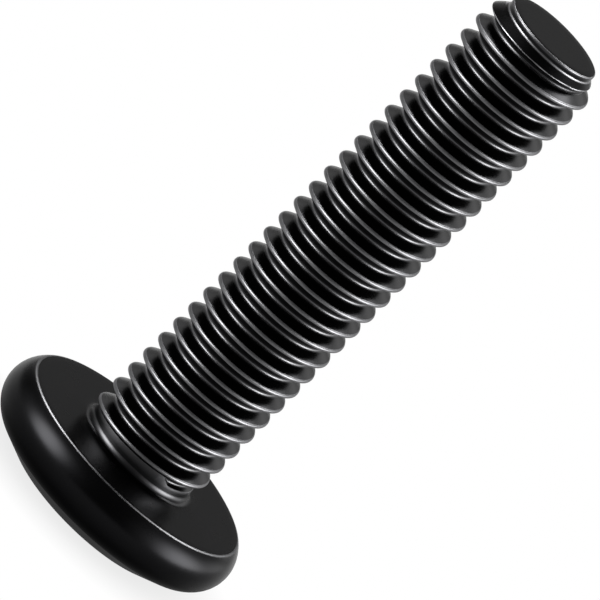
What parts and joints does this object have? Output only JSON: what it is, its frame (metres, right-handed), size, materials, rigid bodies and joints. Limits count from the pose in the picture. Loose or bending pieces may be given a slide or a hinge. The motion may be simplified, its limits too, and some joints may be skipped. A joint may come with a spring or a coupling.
{
  "type": "hexagon socket flat-head connector screw",
  "caption": "Black steel connector screw with a wide low head, rounded rim, coned crown, hexagon socket and a metric thread from the neck to the chamfered point.",
  "frame": {"origin": "centre of the flat on the head, which the screw stands on", "axes": "+Z along the screw's axis from the head to the point; the hexagon's flats face +X and -X"},
  "size_m": [0.0168, 0.0168, 0.0385],
  "materials": {
    "black_steel": "satin black oxide, oiled"
  },
  "bodies": {
    "root": {"screw": "black_steel"}
  },
  "joints": []
}
